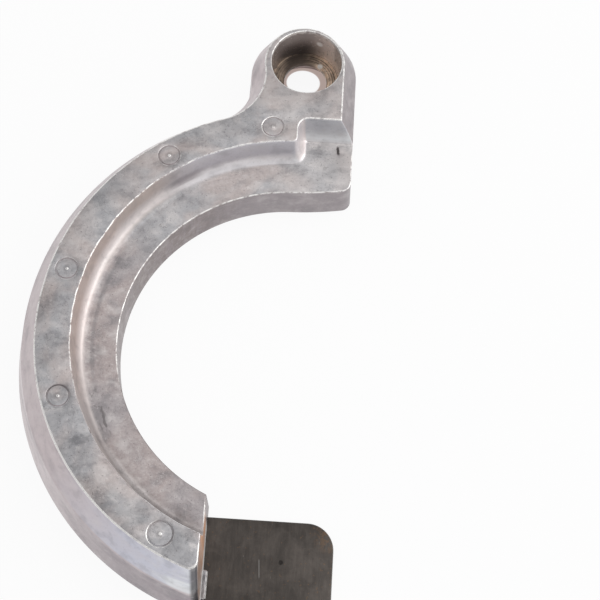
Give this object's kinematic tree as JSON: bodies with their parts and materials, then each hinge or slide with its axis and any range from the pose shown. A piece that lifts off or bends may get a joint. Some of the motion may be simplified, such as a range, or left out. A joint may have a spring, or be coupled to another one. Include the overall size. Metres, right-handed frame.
{
  "type": "sacrificial anode",
  "caption": "Half of a split-ring sacrificial anode for a boat's drive leg: stepped half ring with a counterbored bolt ear at one end and a flat steel lug at the other.",
  "frame": {"origin": "centre of the ring, on the flat mounting face", "axes": "+Z along the ring axis, from the mounting face to the stepped face; +Y from the ring's centre through the ear's bolt; the half ring lies on the -X side"},
  "size_m": [0.0748, 0.145, 0.0183],
  "materials": {
    "cast_zinc": "as-cast zinc, dull and mottled, with brighter edges",
    "turned_steel": "turned steel, brown with tool rings",
    "plate_steel": "rolled steel plate, dark grey with faint streaks and a little rust"
  },
  "bodies": {
    "root": {"anode_casting": "cast_zinc", "bolt_seat": "turned_steel", "steel_lug": "plate_steel"}
  },
  "joints": []
}
